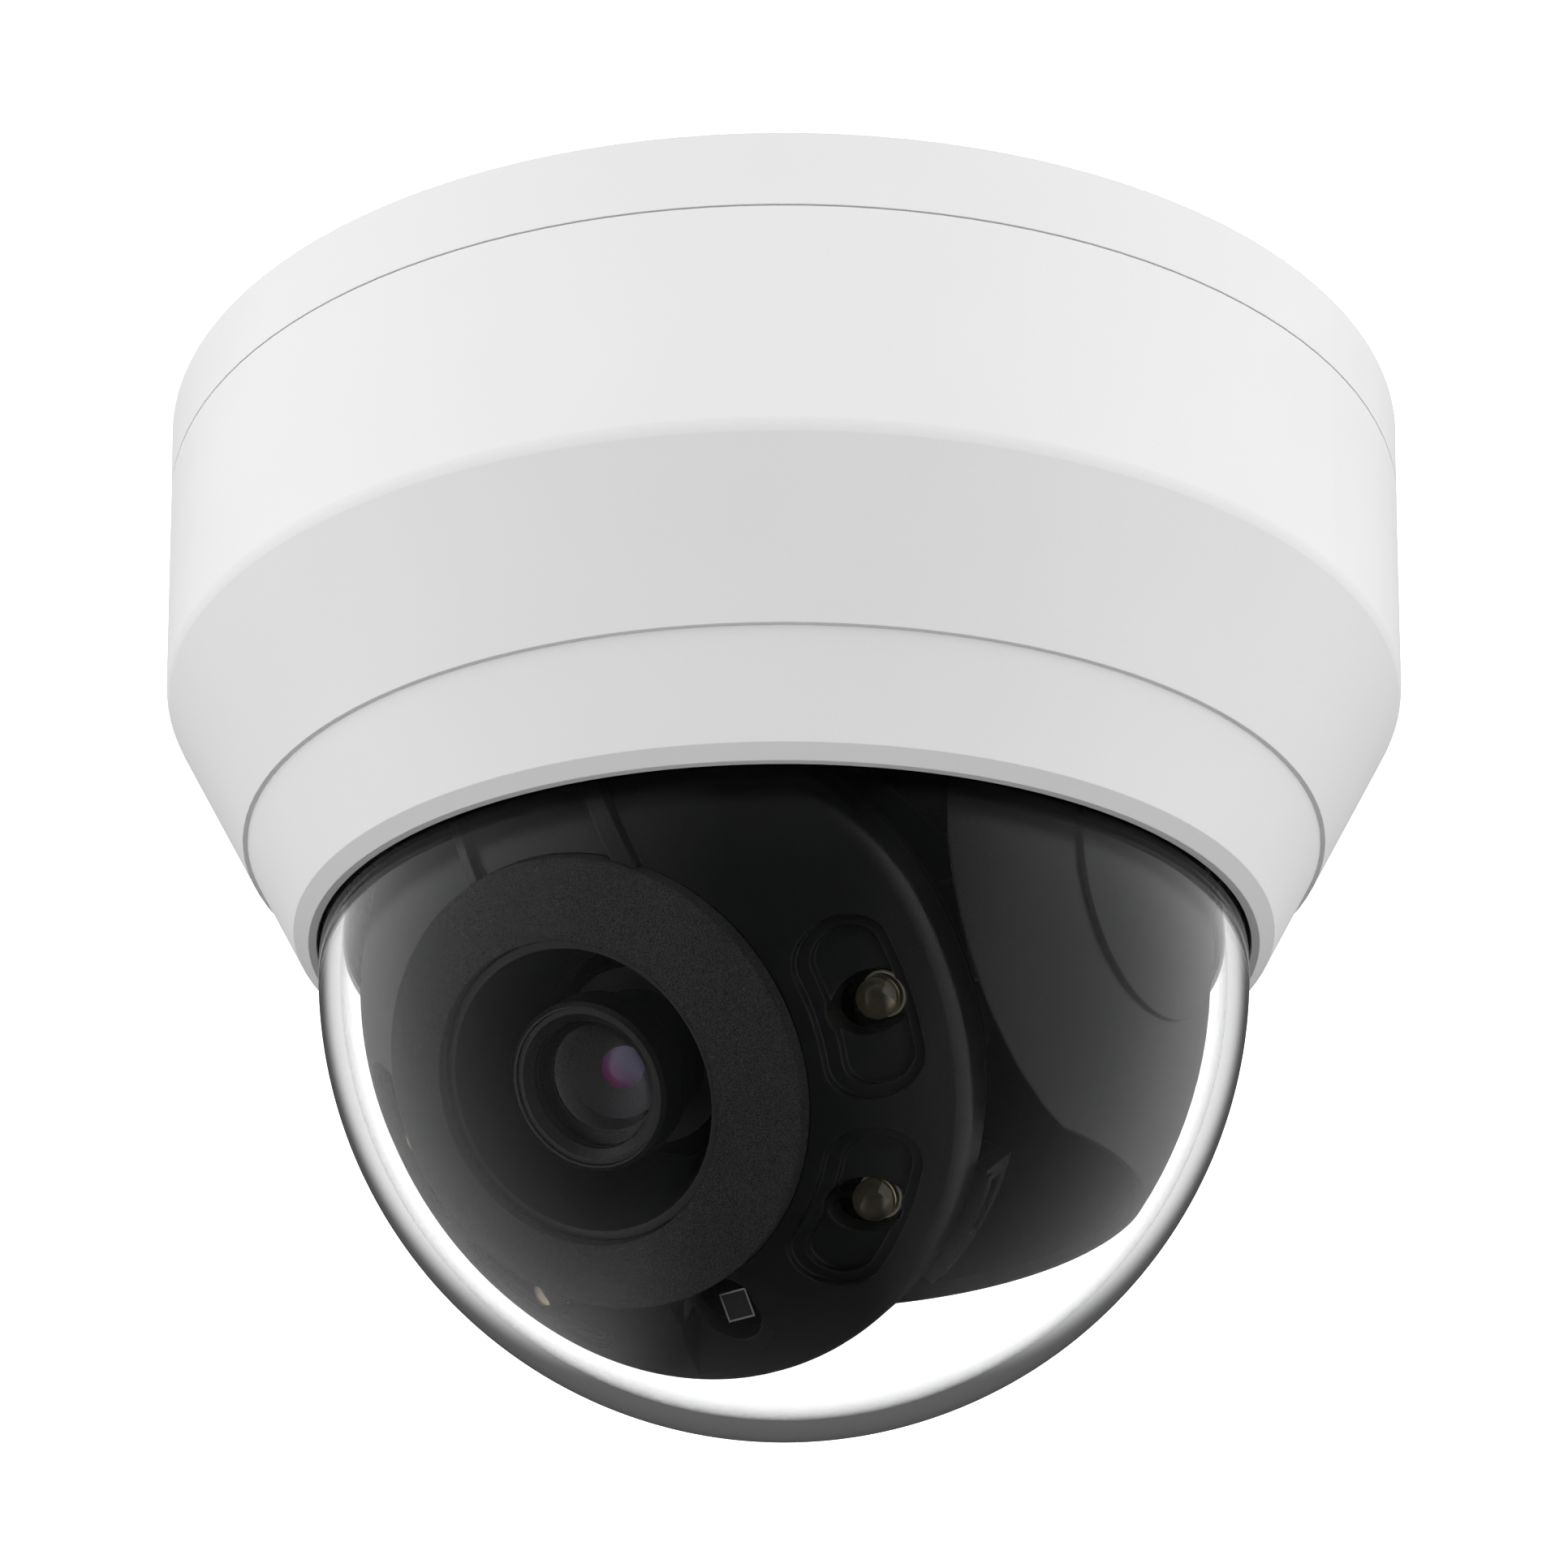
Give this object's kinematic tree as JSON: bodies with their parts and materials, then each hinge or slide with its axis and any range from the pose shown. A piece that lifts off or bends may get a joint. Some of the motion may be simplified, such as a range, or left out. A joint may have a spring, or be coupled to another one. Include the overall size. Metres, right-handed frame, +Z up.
{
  "type": "dome cctv camera",
  "caption": "Ceiling dome security camera: round white base and lift-off cover with a clear bubble over a black lens unit that pans, tilts and rotates.",
  "frame": {"origin": "centre of the flat ceiling face of the base", "axes": "+Z up into the ceiling along the body axis, X along the tilt axis, -Y the way the lens points at rest"},
  "size_m": [0.12, 0.12, 0.0968],
  "materials": {
    "white_plastic": "moulded white plastic, fine spark-eroded texture",
    "black_plastic": "satin black moulded plastic",
    "black_foam": "grained black foam rubber",
    "black_rubber": "smooth black rubber",
    "clear_dome": "clear polycarbonate, polished",
    "lens_black": "black anodised metal",
    "lens_glass": "coated optical glass",
    "led_clear": "clear cast epoxy",
    "led_package": "gold-lined LED package",
    "board_green": "solder-masked circuit board",
    "board_black": "black solder-masked circuit board",
    "chip_black": "moulded chip package",
    "terminal_green": "moulded terminal block",
    "steel": "zinc-plated steel",
    "gold_contact": "gold-plated contacts",
    "aluminium": "bare extruded aluminium",
    "yoke_metal": "black powder-coated steel",
    "acetal": "natural acetal",
    "filter_glass": "infrared-cut coated glass"
  },
  "bodies": {
    "base": {"mounting_base": "white_plastic", "cable_grommet": "black_rubber", "cover_clips": "steel", "main_board": "board_green", "board_screws": "steel", "network_jack": "steel", "jack_contacts": "gold_contact", "power_terminal": "terminal_green", "terminal_screws": "steel", "card_slot": "steel", "processor": "chip_black", "heat_sink": "aluminium", "capacitors": "aluminium", "reset_switch": "chip_black", "pan_bearing": "acetal"},
    "reset_button": {"reset_plunger": "black_plastic"},
    "cover": {"top_cover": "white_plastic", "trim_ring": "white_plastic", "cover_screws": "steel", "dome_gasket": "black_rubber", "dome_bubble": "clear_dome", "dome_retainer": "black_plastic"},
    "pan_unit": {"pan_table": "black_plastic", "pan_retainer": "steel", "retainer_screws": "steel", "yoke_frame": "yoke_metal", "yoke_screws": "steel", "shroud": "black_plastic", "shroud_screws": "steel", "pivot_cap_right": "black_plastic", "pivot_cap_left": "black_plastic"},
    "tilt_unit": {"tilt_cradle": "yoke_metal", "tilt_washer_right": "acetal", "tilt_washer_left": "acetal"},
    "lens_unit": {"front_cap": "black_plastic", "rear_shell": "black_plastic", "ring_nut": "lens_black", "cap_latch": "black_plastic", "light_shield": "black_foam", "lens_hood": "black_plastic", "lens_barrel": "lens_black", "lens_front_ring": "lens_black", "front_lens": "lens_glass", "middle_lens": "lens_glass", "rear_lens": "lens_glass", "iris_ring": "lens_black", "lens_holder": "chip_black", "filter_housing": "chip_black", "sensor_board": "board_green", "image_sensor": "chip_black", "led_board": "board_black", "led_board_screws": "steel", "led_packages": "led_package", "led_domes": "led_clear", "light_sensor": "chip_black"},
    "filter": {"filter_slide": "chip_black", "day_filter": "filter_glass", "night_glass": "filter_glass"}
  },
  "joints": [
    {"name": "pan", "type": "hinge", "parent": "base", "child": "pan_unit", "pos_m": [0, 0, -0.0285], "axis": [0, 0, 1], "range_deg": [-177, 177]},
    {"name": "tilt", "type": "hinge", "parent": "pan_unit", "child": "tilt_unit", "pos_m": [0, 0, -0.0535], "axis": [1, 0, 0], "range_deg": [-6, 55.7]},
    {"name": "rotate", "type": "hinge", "parent": "tilt_unit", "child": "lens_unit", "pos_m": [0, 0, -0.0535], "axis": [0, -0.8261, -0.5635], "range_deg": [-177, 177]},
    {"name": "filter_shift", "type": "slide", "parent": "lens_unit", "child": "filter", "axis": [0.9986, -0.0295, 0.0432], "range_m": [0, 0.0064]},
    {"name": "cover_release", "type": "slide", "parent": "base", "child": "cover", "axis": [0, 0, -1], "range_m": [0, 0.1]},
    {"name": "reset_press", "type": "slide", "parent": "base", "child": "reset_button", "axis": [0, 0, 1], "range_m": [0, 0.0004], "stiffness_N_per_m": 600}
  ]
}
